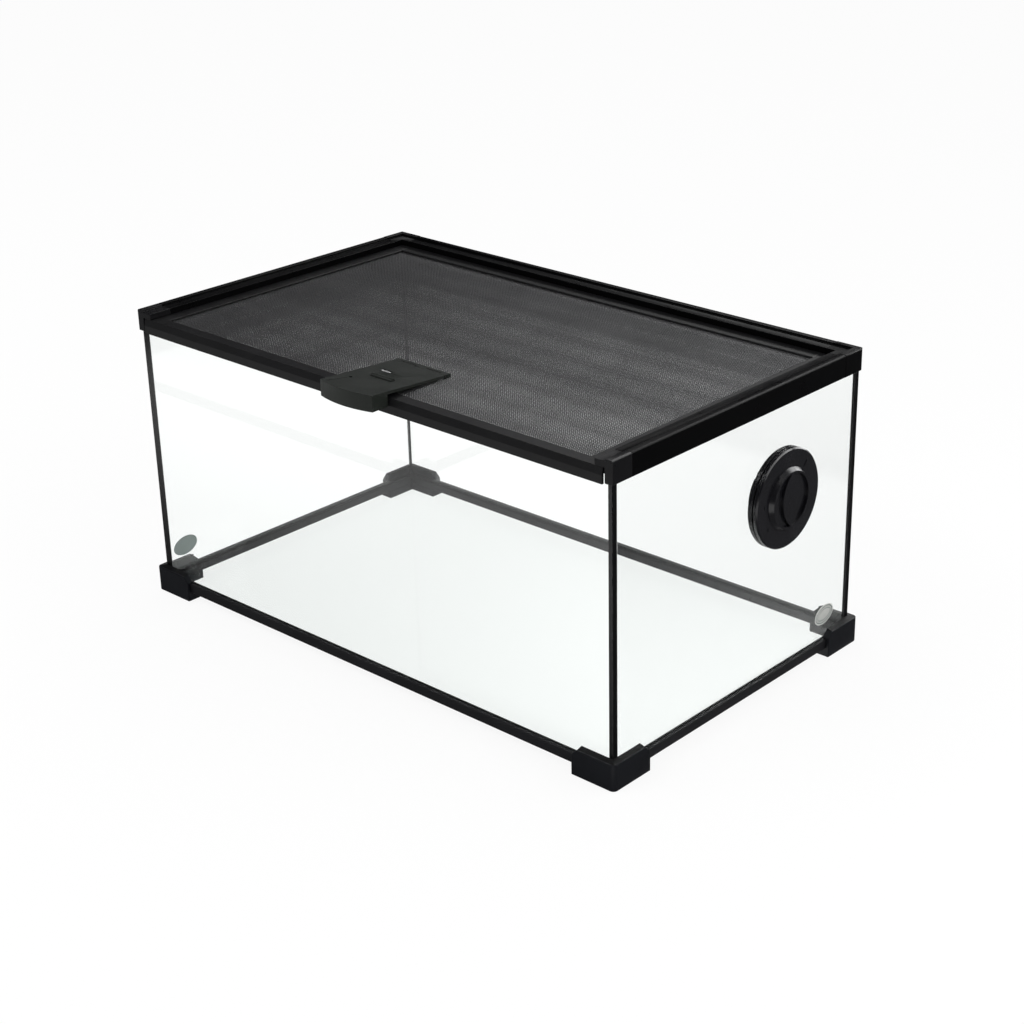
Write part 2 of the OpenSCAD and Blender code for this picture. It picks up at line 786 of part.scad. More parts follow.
// Rebate under the lid bars, which holds mesh and spline
module rebate() {
  span([-rebate_x, rebate_y0, lid_z0 - past], [rebate_x, rebate_y1, rebate_z]);
}

// Slot in bar, base and mesh that the locking tooth passes through
module tooth_slot() {
  span([latch_x - tooth_w / 2 - tooth_side, tooth_y0 - slot_gap, lid_z0 - past],
       [latch_x + tooth_w / 2 + tooth_side, tooth_y1 + slot_gap, lid_top + past]);
}

// Keys of the right half of the lid frame, across its two butt joints
module joint_keys() {
  x = (rebate_x + bar_x1) / 2;
  y = (rebate_y1 + back_y1) / 2;
  span([x - key_w / 2, front_y1 - key_in, key_z], [x + key_w / 2, front_y1 + key_arm, key_z + key_t]);
  span([bar_x0 - key_arm, y - key_w / 2, key_z], [bar_x0 + key_in, y + key_w / 2, key_z + key_t]);
}

module lid_joint_keys() {
  color([0.3, 0.3, 0.3]) {
    joint_keys();
    mirror([1, 0, 0]) joint_keys();
  }
}

module front_bar_section(x) {
  translate([-x, 0, 0]) rotate([90, 0, 90]) linear_extrude(height = 2 * x)
    polygon([
      [front_y1, lid_z0], [front_y1, lid_top], [front_y0 + face_lean, lid_top],
      [front_y0, lid_z0 - face_break], [front_y0, skirt_z0],
      [front_y0 + skirt_t, skirt_z0], [front_y0 + skirt_t, lid_z0]
    ]);
}

module lid_front_bar() {
  color([0.17, 0.17, 0.18])
    difference() {
      union() {
        front_bar_section(bar_x1);
        intersection() {
          front_bar_section(bar_end);
          span([-L, front_y0 - past, skirt_z0 - past], [L, rebate_y0, lid_top + past]);
        }
      }
      rebate();
      joint_keys();
      mirror([1, 0, 0]) joint_keys();
      tooth_slot();
      for (s = [-1, 1]) rivet_hole(latch_x + s * rivet_x, bar_rivet_y);
    }
}

module lid_back_bar() {
  color([0.17, 0.17, 0.18])
    difference() {
      span([-bar_x0, back_y0, lid_z0], [bar_x0, back_y1, lid_top]);
      rebate();
      joint_keys();
      mirror([1, 0, 0]) joint_keys();
    }
}

module lid_bar() {
  difference() {
    span([bar_x0, front_y1, lid_z0], [bar_x1, back_y1, lid_top]);
    rebate();
    joint_keys();
  }
}

module lid_bar_left() {
  color([0.17, 0.17, 0.18]) mirror([1, 0, 0]) lid_bar();
}

module lid_bar_right() {
  color([0.17, 0.17, 0.18]) lid_bar();
}

module lid_mesh() {
  w = 2 * (rebate_x - mesh_gap);
  y0 = rebate_y0 + mesh_gap;
  d = rebate_y1 - mesh_gap - y0;
  px = (w - wire_w) / mesh_nx;
  py = (d - wire_w) / mesh_ny;
  color([0.12, 0.12, 0.12])
    translate([0, 0, mesh_z0]) linear_extrude(height = mesh_t)
      difference() {
        translate([-w / 2, y0]) square([w, d]);
        for (i = [0:mesh_nx - 1])
          for (j = [0:mesh_ny - 1])
            translate([-w / 2 + wire_w + i * px, y0 + wire_w + j * py])
              square([px - wire_w, py - wire_w]);
        translate([bx0 - mesh_gap, y0 - past]) square([base_w + 2 * mesh_gap, front_y1 - y0 + past]);
        translate([latch_x - tooth_w / 2 - tooth_side, front_y1 - past])
          square([tooth_w + 2 * tooth_side, past + tooth_y1 + slot_gap - front_y1]);
        for (s = [-1, 1])
          for (y = mesh_rivet_y)
            translate([latch_x + s * rivet_x, y]) circle(r = rivet_r);
      }
}

module mesh_spline() {
  z0 = lid_z0 + mesh_gap;
  color([0.05, 0.05, 0.05])
    difference() {
      span([-rebate_x, rebate_y0, z0], [rebate_x, rebate_y1, mesh_z0]);
      span([-rebate_x + spline_w, rebate_y0 + spline_w, z0 - past],
           [rebate_x - spline_w, rebate_y1 - spline_w, mesh_z0 + past]);
      span([bx0 - mesh_gap, rebate_y0 - past, z0 - past], [bx1 + mesh_gap, front_y1, mesh_z0 + past]);
    }
}

// Rivet with its head under the lid and its end at the level z1
module rivet(x, y, z1) {
  z0 = lid_z0 + mesh_gap;
  translate([x, y, z0]) cylinder(h = z1 - z0, r = rivet_r);
  translate([x, y, z0]) cylinder(h = head_t, r = head_r);
}

// Cutter for a rivet, open at both ends
module rivet_hole(x, y) {
  z0 = lid_z0 + mesh_gap;
  translate([x, y, z0]) cylinder(h = lid_t + past, r = rivet_r);
  translate([x, y, z0 - past]) cylinder(h = head_t + past, r = head_r);
}

module latch_rivets() {
  color([0.5, 0.5, 0.52])
    for (s = [-1, 1])
      for (y = mesh_rivet_y) rivet(latch_x + s * rivet_x, y, rebate_z + base_t);
}

module bar_rivets() {
  color([0.5, 0.5, 0.52])
    for (s = [-1, 1]) rivet(latch_x + s * rivet_x, bar_rivet_y, lid_top);
}

// Plate under the mesh, with a tab below the front bar
module latch_backer() {
  z0 = lid_z0 + mesh_gap;
  color([0.1, 0.1, 0.1])
    difference() {
      union() {
        span([bx0, rebate_y0, z0], [bx1, hinge_y - rivet_rear + rivet_in, mesh_z0]);
        span([bx0, rebate_y0, z0], [bx1, front_y1, rebate_z]);
      }
      tooth_slot();
      for (s = [-1, 1])
        for (y = concat(mesh_rivet_y, [bar_rivet_y])) rivet_hole(latch_x + s * rivet_x, y);
    }
}

// Lever knuckles along the hinge axis, grown by g at both ends
module knuckles(r, g) {
  k = lever_w * knuckle_share;
  inset = lever_w * knuckle_in;
  for (x = [lx0 + inset, lx1 - inset - k])
    translate([x - g, hinge_y, hinge_z]) rotate([0, 90, 0]) cylinder(h = k + 2 * g, r = r);
}

module latch_base() {
  top = hinge_z + knuckle_r;
  color([0.1, 0.1, 0.1])
    difference() {
      union() {
        span([bx0, front_y1, rebate_z], [bx1, base_back, rebate_z + base_t]);
        span([lx0, hinge_y - knuckle_r, rebate_z], [lx1, base_back, top]);
      }
      knuckles(knuckle_r + knuckle_clear, knuckle_gap);
      intersection() {
        knuckles(lever_w, knuckle_gap);
        span([lx0, hinge_y - knuckle_r - knuckle_clear, rebate_z - past], [lx1, hinge_y, top + past]);
      }
      translate([lx0 - past, hinge_y, hinge_z]) rotate([0, 90, 0])
        cylinder(h = lever_w + 2 * past, r = hinge_r + pin_press);
      tooth_slot();
      for (s = [-1, 1])
        for (y = mesh_rivet_y)
          translate([latch_x + s * rivet_x, y, rebate_z - past]) cylinder(h = base_t + 2 * past, r = rivet_r);
    }
}

module latch_pin() {
  color([0.6, 0.6, 0.62])
    translate([lx0 + pin_in, hinge_y, hinge_z]) rotate([0, 90, 0])
      cylinder(h = lever_w - 2 * pin_in, r = hinge_r);
}

// Places children in the frame of the lever, origin on the hinge axis
module in_lever() {
  translate([latch_x, hinge_y, hinge_z]) rotate([-lever_slope, 0, 0]) children();
}

// Plan of the lever and grip, g inside the outer outline
module lever_plan(g) {
  intersection() {
    translate([latch_x, -D - grip_out + grip_r]) circle(r = grip_r - g);
    translate([lx0 + g, -D - grip_out - past])
      square([lever_w - 2 * g, lever_len + past - knuckle_r - knuckle_clear]);
  }
}

// Everything of the lever below the top face of its plate
module lever_under() {
  intersection() {
    union() {
      // finger grip, open below and behind
      translate([0, 0, grip_z0]) linear_extrude(height = 2 * grip_h)
        intersection() {
          difference() {
            lever_plan(0);
            lever_plan(grip_t);
          }
          translate([lx0 - past, -D - grip_out - past])
            square([lever_w + 2 * past, grip_back + D + grip_out + past]);
        }
      // locking tooth
      span([latch_x - tooth_w / 2, tooth_y0, tooth_tip], [latch_x + tooth_w / 2, tooth_y1, lid_top + grip_h]);
    }
    in_lever()
      translate([-lever_w, -2 * lever_len, -2 * grip_h])
        cube([2 * lever_w, 3 * lever_len, 2 * grip_h + knuckle_r - plate_skin]);
  }
}

// Pocket of the lever with rounded ends
module stud_pocket() {
  translate([-pocket_x, -pocket_y, pocket_z])
    linear_extrude(height = pocket_h + past) {
      translate([-pocket_len / 2, -pocket_r]) square([pocket_len, 2 * pocket_r]);
      for (s = [-1, 1]) translate([s * pocket_len / 2, 0]) circle(r = pocket_r);
    }
}

module latch_lever() {
  color([0.16, 0.16, 0.17])
    difference() {
      union() {
        intersection() {
          translate([0, 0, grip_z0]) linear_extrude(height = 3 * grip_h) lever_plan(0);
          in_lever()
            translate([-lever_w, -2 * lever_len, knuckle_r - lever_t])
              cube([2 * lever_w, 2 * lever_len, lever_t]);
        }
        lever_under();
        knuckles(knuckle_r, 0);
        // links from the plate to the knuckles
        intersection() {
          knuckles(lever_w, 0);
          in_lever()
            translate([-lever_w, -2 * knuckle_r - past, knuckle_r - lever_t])
              cube([2 * lever_w, 2 * knuckle_r + past, lever_t]);
        }
        // thumb rib
        in_lever()
          translate([-rib_x - rib_len / 2, -rib_y, knuckle_r]) rotate([0, 90, 0])
            cylinder(h = rib_len, r = rib_r);
      }
      knuckles(hinge_r + hinge_fit, past);
      in_lever() {
        stud_pocket();
        // round mark and slit near the left front
        translate([-mark_x, -mark_y, knuckle_r - mark_h]) cylinder(h = mark_h + past, r = mark_r);
        translate([-mark_x, -mark_y, knuckle_r - slit_h]) rotate([0, 0, -slit_turn])
          translate([-slit_w / 2, -slit_len, 0]) cube([slit_w, slit_len, slit_h + past]);
      }
    }
}

module latch_stud() {
  color([0.8, 0.8, 0.82])
    in_lever()
      translate([-pocket_x - stud_len / 2, -pocket_y, pocket_z + stud_r]) rotate([0, 90, 0])
        cylinder(h = stud_len, r = stud_r);
}

// Bar shape of the locking bar, half length r and width w
module lug_shape(x, len, r, w) {
  intersection() {
    rod_x(x, len, r);
    span([x, port_y - w / 2, port_z - r - past], [x + len, port_y + w / 2, port_z + r + past]);
  }
}

module port_gasket() {
  color([0.05, 0.05, 0.05])
    difference() {
      rod_x(L, gasket_t, barrel_r + gasket_gap + gasket_w);
      rod_x(L - past, gasket_t + 2 * past, barrel_r + gasket_gap);
    }
}

module port_base() {
  color([0.08, 0.08, 0.09])
    difference() {
      union() {
        rod_x(gasket_x1, port_flange_t, flange_r);
        rod_x(barrel_x0, flange_x1 - barrel_x0, barrel_r);
      }
      rod_x(barrel_x0 - past, flange_x1 - barrel_x0 + 2 * past, bore_r);
      lug_shape(barrel_x0 - past, flange_x1 - barrel_x0 + 2 * past,
                lug_half + lug_slot, lug_w + 4 * lug_slot);
    }
}

module port_nut() {
  color([0.08, 0.08, 0.09])
    difference() {
      rod_x(nut_x0, nut_t, nut_r);
      rod_x(nut_x0 - past, nut_t + 2 * past, barrel_r + nut_fit);
      for (a = nut_turns)
        translate([nut_x0 - past, port_y + nut_r * cos(a), port_z + nut_r * sin(a)])
          rotate([0, 90, 0]) cylinder(h = nut_t + 2 * past, r = nut_notch);
    }
}

module port_cap() {
  color([0.08, 0.08, 0.09])
    difference() {
      union() {
        rod_x(seal_x1, cap_t - cap_edge, cap_r);
        translate([cap_x1 - cap_edge, port_y, port_z]) rotate([0, 90, 0])
          cylinder(h = cap_edge, r1 = cap_r, r2 = cap_r - cap_edge);
        rod_x(plug_x0, plug_len, plug_r);
      }
      difference() {
        rod_x(plug_x0 - past, plug_len + past, plug_r - plug_t);
        rod_x(plug_x0 - 2 * past, plug_len + 3 * past, hub_r);
      }
      rod_x(plug_x0 - past, plug_len + cap_t + 2 * past, shaft_r + shaft_fit);
      // index mark and two dots cut into the disc
      translate([cap_x1 - cap_mark_h, port_y, port_z]) rotate([index_turn, 0, 0])
        translate([0, knob_r + index_gap, -index_w / 2]) cube([cap_mark_h + past, index_len, index_w]);
      for (a = dot_turns)
        translate([cap_x1 - cap_mark_h, port_y, port_z]) rotate([a, 0, 0]) translate([0, knob_r + dot_gap, 0])
          rotate([0, 90, 0]) cylinder(h = cap_mark_h + past, r = dot_r);
    }
}

module cap_seal() {
  color([0.04, 0.04, 0.04])
    difference() {
      rod_x(flange_x1, seal_t, plug_r + seal_gap + seal_w);
      rod_x(flange_x1 - past, seal_t + 2 * past, plug_r + seal_gap);
    }
}

module port_knob() {
  color([0.09, 0.09, 0.1])
    difference() {
      union() {
        translate([knob_x0, port_y, port_z]) rotate([0, 90, 0])
          cylinder(h = knob_h, r1 = knob_r, r2 = knob_top_r);
        rod_x(lug_x1, knob_x0 + knob_h - recess_h - lug_x1, shaft_r);
      }
      // finger recess on both sides of the grip
      translate([knob_x0 + knob_h - recess_h, port_y, port_z]) rotate([90, 0, 90])
        linear_extrude(height = recess_h + past)
          difference() {
            circle(r = recess_r);
            intersection() {
              translate([lens_r - grip_w / 2, 0]) circle(r = lens_r);
              translate([grip_w / 2 - lens_r, 0]) circle(r = lens_r);
            }
          }
      rod_x(lug_x1 - past, screw_in + past, screw_r);
    }
}

module knob_lug_bar() {
  color([0.2, 0.2, 0.2])
    difference() {
      lug_shape(lug_x0, lug_t, lug_half, lug_w);
      rod_x(lug_x0 - past, lug_t + 2 * past, screw_r + screw_fit);
    }
}

module knob_screw() {
  far = screw_slot / 2;
  near = screw_slot_w / 2;
  head_x0 = lug_x0 - screw_head_t;
  color([0.7, 0.7, 0.72])
    difference() {
      union() {
        rod_x(head_x0, screw_head_t, screw_head_r);
        rod_x(head_x0, screw_head_t + lug_t + screw_in - screw_tip, screw_r);
      }
      span([head_x0 - past, port_y - far, port_z - near],
           [head_x0 + screw_slot_w, port_y + far, port_z + near]);
      span([head_x0 - past, port_y - near, port_z - far],
           [head_x0 + screw_slot_w, port_y + near, port_z + far]);
    }
}

// Oval sticker whose back lies at x, centred on y and z
module sticker(x, y, z) {
  translate([x, y, z]) rotate([sticker_tilt, 0, 0]) rotate([0, 90, 0])
    linear_extrude(height = sticker_t) polygon(oval);
}

module sticker_left() {
  color([0.75, 0.77, 0.78]) sticker(-L - sticker_t, -D + sticker_left_in, sticker_left_z);
}

module sticker_right() {
  color([0.8, 0.8, 0.78]) sticker(L, D - sticker_right_in, sticker_right_z);
}

glass_front();
glass_back();
glass_left();
glass_right();
glass_floor();
corner_seals();
floor_seal();
foot_seals();
bottom_rail_front();
bottom_rail_back();
bottom_rail_left();
bottom_rail_right();
foot_front_left();
foot_front_right();
foot_rear_left();
foot_rear_right();
top_rail_left();
top_rail_right();
top_rail_back();
rim_corner_left();
rim_corner_right();
end_cap_left();
end_cap_right();
lid_front_bar();
lid_back_bar();
lid_bar_left();
lid_bar_right();
lid_joint_keys();
lid_mesh();
mesh_spline();
latch_base();
latch_backer();
latch_lever();
latch_pin();
latch_stud();
latch_rivets();
bar_rivets();
port_gasket();
port_base();
port_nut();
port_cap();
cap_seal();
port_knob();
knob_lug_bar();
knob_screw();
sticker_left();
sticker_right();
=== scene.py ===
"""Looks of a small glass terrarium: panes, rails, sliding mesh lid, latch and port."""
import json
import math

import bmesh
import bpy
from mathutils import Matrix, Vector

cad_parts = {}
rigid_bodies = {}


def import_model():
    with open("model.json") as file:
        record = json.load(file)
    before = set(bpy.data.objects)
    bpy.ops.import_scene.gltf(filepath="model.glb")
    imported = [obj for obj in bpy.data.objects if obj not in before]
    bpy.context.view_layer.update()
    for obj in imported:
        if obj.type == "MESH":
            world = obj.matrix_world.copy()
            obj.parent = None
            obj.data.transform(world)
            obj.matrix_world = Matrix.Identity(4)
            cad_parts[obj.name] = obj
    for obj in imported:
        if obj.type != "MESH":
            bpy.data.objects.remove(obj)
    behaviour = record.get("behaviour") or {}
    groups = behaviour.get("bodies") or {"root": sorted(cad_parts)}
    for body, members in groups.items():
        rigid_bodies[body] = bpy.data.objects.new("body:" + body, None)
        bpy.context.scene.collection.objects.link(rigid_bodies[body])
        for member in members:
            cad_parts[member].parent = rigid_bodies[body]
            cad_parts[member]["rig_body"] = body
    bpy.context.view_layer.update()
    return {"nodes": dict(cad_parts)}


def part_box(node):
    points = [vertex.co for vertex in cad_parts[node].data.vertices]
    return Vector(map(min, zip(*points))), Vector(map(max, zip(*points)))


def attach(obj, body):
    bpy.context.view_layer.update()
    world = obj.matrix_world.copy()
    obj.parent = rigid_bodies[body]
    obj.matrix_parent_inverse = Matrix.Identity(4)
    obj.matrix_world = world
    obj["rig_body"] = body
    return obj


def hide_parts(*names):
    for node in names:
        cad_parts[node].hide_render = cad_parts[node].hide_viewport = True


MM = 0.001
# Air between a pane and its seat, so that no faces coincide
SEAT_AIR = 0.02 * MM
# Reach within which a CAD node's points are merged, and points are taken to lie on a cut
MERGE_REACH = 0.002 * MM
CUT_REACH = 0.001 * MM
# Least dot product of the normals of two faces that lie flat with each other
FLAT = 0.999999
WHITE = (1, 1, 1)

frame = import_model()
nodes = frame["nodes"]

# Camera solved from the photograph, for a square picture
CAMERA_PLACE = Vector((0.62274, -0.64194, 0.45142))
CAMERA_AZIMUTH = 40.16
CAMERA_ELEVATION = 23.34
CAMERA_ROLL = -0.109
CAMERA_LENS = 69.59
CAMERA_SHIFT = (-0.1065, -0.0195)


# ---------------------------------------------------------------- materials
def new_material(name):
    """A material with one Principled shader, and its nodes, links and shader."""
    material = bpy.data.materials.new(name)
    material.use_nodes = True
    tree = material.node_tree
    return material, tree.nodes, tree.links, tree.nodes["Principled BSDF"]


def feed(l, slot, value):
    """Gives a socket its value: a number, a colour, or another node's output."""
    if isinstance(value, bpy.types.NodeSocket):
        l.new(value, slot)
    elif isinstance(value, tuple):
        slot.default_value = (*value, 1)
    else:
        slot.default_value = value


def calc(n, l, operation, *values, clamp=False):
    """The result of one sum, whose values are numbers or other nodes' outputs."""
    node = n.new("ShaderNodeMath")
    node.operation = operation
    node.use_clamp = clamp
    for slot, value in zip(node.inputs, values):
        feed(l, slot, value)
    return node.outputs[0]


def place(n, l, scale=(1, 1, 1)):
    """Object coordinates, stretched by scale, as a vector output."""
    coords = n.new("ShaderNodeTexCoord")
    mapping = n.new("ShaderNodeMapping")
    mapping.inputs["Scale"].default_value = scale
    l.new(coords.outputs["Object"], mapping.inputs["Vector"])
    return mapping.outputs["Vector"]


def noise(n, l, vector, scale, detail=3.0):
    """Cloudy noise, with scale patches to a metre."""
    texture = n.new("ShaderNodeTexNoise")
    texture.inputs["Scale"].default_value = scale
    texture.inputs["Detail"].default_value = detail
    l.new(vector, texture.inputs["Vector"])
    return texture.outputs["Fac"]


def spread(n, l, value, low, high):
    """Noise between 0.3 and 0.7 mapped to low..high."""
    ranged = n.new("ShaderNodeMapRange")
    ranged.inputs["From Min"].default_value = 0.3
    ranged.inputs["From Max"].default_value = 0.7
    ranged.inputs["To Min"].default_value = low
    ranged.inputs["To Max"].default_value = high
    l.new(value, ranged.inputs["Value"])
    return ranged.outputs["Result"]


def tint(n, l, factor, first, second):
    """A colour between first and second, which are colours or other nodes' outputs."""
    mix = n.new("ShaderNodeMix")
    mix.data_type = "RGBA"
    feed(l, mix.inputs["A"], first)
    feed(l, mix.inputs["B"], second)
    l.new(factor, mix.inputs["Factor"])
    return mix.outputs["Result"]


def blend(n, l, factor, first, second):
    """A shader between first and second."""
    mix = n.new("ShaderNodeMixShader")
    l.new(factor, mix.inputs["Fac"])
    l.new(first, mix.inputs[1])
    l.new(second, mix.inputs[2])
    return mix.outputs["Shader"]


def bumps(n, l, height, distance):
    """A normal raised by height times distance, in metres."""
    bump = n.new("ShaderNodeBump")
    bump.inputs["Distance"].default_value = distance
    l.new(height, bump.inputs["Height"])
    return bump.outputs["Normal"]


# Depth of the grain of moulded plastic
FINE_GRAIN = 0.02 * MM
COARSE_GRAIN = 0.03 * MM


def moulded_plastic(name, dark, light, roughness, sheen, grain=FINE_GRAIN):
    """Black moulded plastic: fine grain, faint flow marks and patches of other gloss."""
    material, n, l, shader = new_material(name)
    vector = place(n, l)
    patches = noise(n, l, vector, 38.0, 4.0)
    l.new(tint(n, l, patches, dark, light), shader.inputs["Base Color"])
    low, high = roughness
    l.new(spread(n, l, noise(n, l, vector, 95.0, 5.0), low, high), shader.inputs["Roughness"])
    l.new(bumps(n, l, noise(n, l, vector, 1500.0, 2.0), grain), shader.inputs["Normal"])
    shader.inputs["Specular IOR Level"].default_value = sheen
    return material


def clear_glass():
    """Clear float glass that lets lamps through."""
    material, n, l, shader = new_material("float_glass")
    shader.inputs["Base Color"].default_value = (0.985, 0.995, 0.99, 1)
    shader.inputs["Roughness"].default_value = 0.0
    shader.inputs["IOR"].default_value = 1.5
    shader.inputs["Transmission Weight"].default_value = 1.0
    path = n.new("ShaderNodeLightPath")
    lamps = calc(n, l, "MAXIMUM", path.outputs["Is Shadow Ray"], path.outputs["Is Diffuse Ray"])
    through = n.new("ShaderNodeBsdfTransparent")
    through.inputs["Color"].default_value = (0.95, 0.97, 0.96, 1)
    surface = blend(n, l, lamps, shader.outputs["BSDF"], through.outputs["BSDF"])
    l.new(surface, n["Material Output"].inputs["Surface"])
    return material


def thin_glass():
    """Glass of the floor pane, lying flat: clear, with a faint gloss that grows at low angles."""
    material, n, l, shader = new_material("floor_glass")
    n.remove(shader)
    clear = n.new("ShaderNodeBsdfTransparent")
    clear.inputs["Color"].default_value = (0.975, 0.985, 0.98, 1)
    gloss = n.new("ShaderNodeBsdfGlossy")
    gloss.inputs["Color"].default_value = (1, 1, 1, 1)
    smears = noise(n, l, place(n, l), 14.0)
    l.new(spread(n, l, smears, 0.0, 0.06), gloss.inputs["Roughness"])
    weight = n.new("ShaderNodeLayerWeight")
    share = n.new("ShaderNodeMapRange")
    share.inputs["To Min"].default_value = 0.015
    share.inputs["To Max"].default_value = 0.4
    l.new(calc(n, l, "POWER", weight.outputs["Facing"], 5.0), share.inputs["Value"])
    surface = blend(n, l, share.outputs["Result"], clear.outputs["BSDF"], gloss.outputs["BSDF"])
    l.new(surface, n["Material Output"].inputs["Surface"])
    return material


def silicone():
    """Black silicone, smoothed by hand in faint waves."""
    material, n, l, shader = new_material("black_silicone")
    vector = place(n, l, (1, 1, 0.3))
    waves = noise(n, l, vector, 120.0, 2.0)
    colour = tint(n, l, waves, (0.004, 0.004, 0.004), (0.009, 0.009, 0.01))
    l.new(colour, shader.inputs["Base Color"])
    l.new(spread(n, l, waves, 0.35, 0.5), shader.inputs["Roughness"])
    l.new(bumps(n, l, waves, 0.0002), shader.inputs["Normal"])
    shader.inputs["Specular IOR Level"].default_value = 0.12
    return material


def steel():
    """Bright steel, brushed along the tank's length."""
    material, n, l, shader = new_material("bright_steel")
    vector = place(n, l, (0.2, 1, 1))
    brushing = noise(n, l, vector, 2600.0, 2.0)
    colour = tint(n, l, brushing, (0.62, 0.62, 0.63), (0.8, 0.8, 0.81))
    l.new(colour, shader.inputs["Base Color"])
    l.new(spread(n, l, brushing, 0.35, 0.5), shader.inputs["Roughness"])
    shader.inputs["Metallic"].default_value = 0.75
    return material


def coated_wire():
    """Dark metal wire, with a slightly uneven sheen."""
    material, n, l, shader = new_material("coated_wire")
    vector = place(n, l)
    patches = noise(n, l, vector, 22.0, 4.0)
    colour = tint(n, l, patches, (0.07, 0.07, 0.072), (0.13, 0.13, 0.133))
    l.new(colour, shader.inputs["Base Color"])
    l.new(spread(n, l, noise(n, l, vector, 700.0, 2.0), 0.3, 0.45), shader.inputs["Roughness"])
    shader.inputs["Metallic"].default_value = 0.95
    return material


def rubber():
    """Dull black rubber of seals and spline."""
    material, n, l, shader = new_material("soft_rubber")
    vector = place(n, l)
    colour = tint(n, l, noise(n, l, vector, 60.0), (0.006, 0.006, 0.006), (0.012, 0.012, 0.012))
    l.new(colour, shader.inputs["Base Color"])
    l.new(spread(n, l, noise(n, l, vector, 300.0), 0.6, 0.8), shader.inputs["Roughness"])
    return material


def foil(name, dark, light, roughness):
    """Silvery film with a fine random grain."""
    material, n, l, shader = new_material(name)
    vector = place(n, l)
    grain = noise(n, l, vector, 900.0)
    l.new(tint(n, l, grain, dark, light), shader.inputs["Base Color"])
    l.new(spread(n, l, grain, roughness, roughness + 0.15), shader.inputs["Roughness"])
    shader.inputs["Metallic"].default_value = 0.35
    return material


GLASS = clear_glass()
FLOOR_GLASS = thin_glass()
SILICONE = silicone()
STEEL = steel()
WIRE = coated_wire()
RUBBER = rubber()
# Moulded plastics: darkest and lightest tone, span of roughness, sheen, depth of the grain
RAIL = moulded_plastic(
    "rail_plastic", (0.007, 0.007, 0.008), (0.014, 0.014, 0.016), (0.36, 0.5), 0.2
)
FOOT = moulded_plastic(
    "foot_plastic", (0.004, 0.0045, 0.0065), (0.009, 0.010, 0.0125), (0.36, 0.5), 0.2, COARSE_GRAIN
)
RIM = moulded_plastic(
    "rim_plastic", (0.0006, 0.0006, 0.0007), (0.0016, 0.0016, 0.0018), (0.25, 0.4), 0.08
)
CAP_END = moulded_plastic(
    "end_cap_plastic", (0.0025, 0.0025, 0.003), (0.005, 0.005, 0.006), (0.25, 0.4), 0.3
)
LID = moulded_plastic(
    "lid_plastic", (0.005, 0.005, 0.005), (0.010, 0.010, 0.011), (0.28, 0.42), 0.3
)
LATCH = moulded_plastic(
    "latch_plastic", (0.011, 0.013, 0.011), (0.018, 0.021, 0.018), (0.3, 0.44), 0.35, COARSE_GRAIN
)
PORT = moulded_plastic(
    "port_plastic", (0.003, 0.003, 0.004), (0.007, 0.007, 0.009), (0.16, 0.28), 0.6
)
# Sticker films: darkest and lightest tone, least roughness
FOIL_FACE = foil("foil_face", (0.5, 0.51, 0.48), (0.72, 0.73, 0.7), 0.3)
FOIL_RIM = foil("foil_rim", (0.62, 0.63, 0.6), (0.85, 0.86, 0.83), 0.25)
FOIL_DARK = foil("foil_dark_rim", (0.13, 0.17, 0.16), (0.2, 0.24, 0.23), 0.45)
FOIL_BACK = foil("foil_back", (0.20, 0.26, 0.25), (0.27, 0.33, 0.32), 0.5)


# ------------------------------------------------------------------- pieces
def mesh_piece(bm, name, body, material, replaced=(), sharp=32.0):
    """Makes the bmesh a piece of the object at the world origin, riding on body.

    Edges turning by more than the angle sharp, in degrees, stay sharp in the shading.
    """
    mesh = bpy.data.meshes.new(name)
    bm.to_mesh(mesh)
    bm.free()
    mesh.polygons.foreach_set("use_smooth", [True] * len(mesh.polygons))
    mesh.set_sharp_from_angle(angle=math.radians(sharp))
    for finish in material if isinstance(material, list) else [material]:
        mesh.materials.append(finish)
    piece = bpy.data.objects.new(name, mesh)
    bpy.context.scene.collection.objects.link(piece)
    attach(piece, body)
    if replaced:
        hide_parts(*replaced)
    return piece


def rounded(piece, width, segments=2):
    """Rounds the edges of a piece that turn by more than 35 degrees."""
    bevel = piece.modifiers.new("edges", "BEVEL")
    bevel.width = width
    bevel.segments = segments
    bevel.limit_method = "ANGLE"
    bevel.angle_limit = math.radians(35.0)
    bevel.harden_normals = True
    return piece


def flat_region(bm, seed, seen):
    """The faces joined to seed that lie flat with it."""
    region, stack = [], [seed]
    seen[seed.index] = True
    while stack:
        face = stack.pop()
        region.append(face)
        for edge in face.edges:
            for other in () if edge.seam else edge.link_faces:
                if not seen[other.index] and other.normal.dot(seed.normal) > FLAT:
                    seen[other.index] = True
                    stack.append(other)
    return region


def has_one_outline(region):
    """True where a region's outline is a single closed loop, so that it has no hole."""
    inside = {face.index for face in region}
    ends = {}
    outline = []
    for face in region:
        for edge in face.edges:
            if edge.seam or sum(other.index in inside for other in edge.link_faces) == 1:
                outline.append(edge)
                for v in edge.verts:
                    ends.setdefault(v.index, []).append(edge)
    if any(len(edges) != 2 for edges in ends.values()):
        return False
    edge, v = outline[0], outline[0].verts[0]
    steps = 0
    while steps == 0 or edge is not outline[0]:
        v = edge.other_vert(v)
        first, second = ends[v.index]
        edge = second if edge is first else first
        steps += 1
    return steps == len(outline)


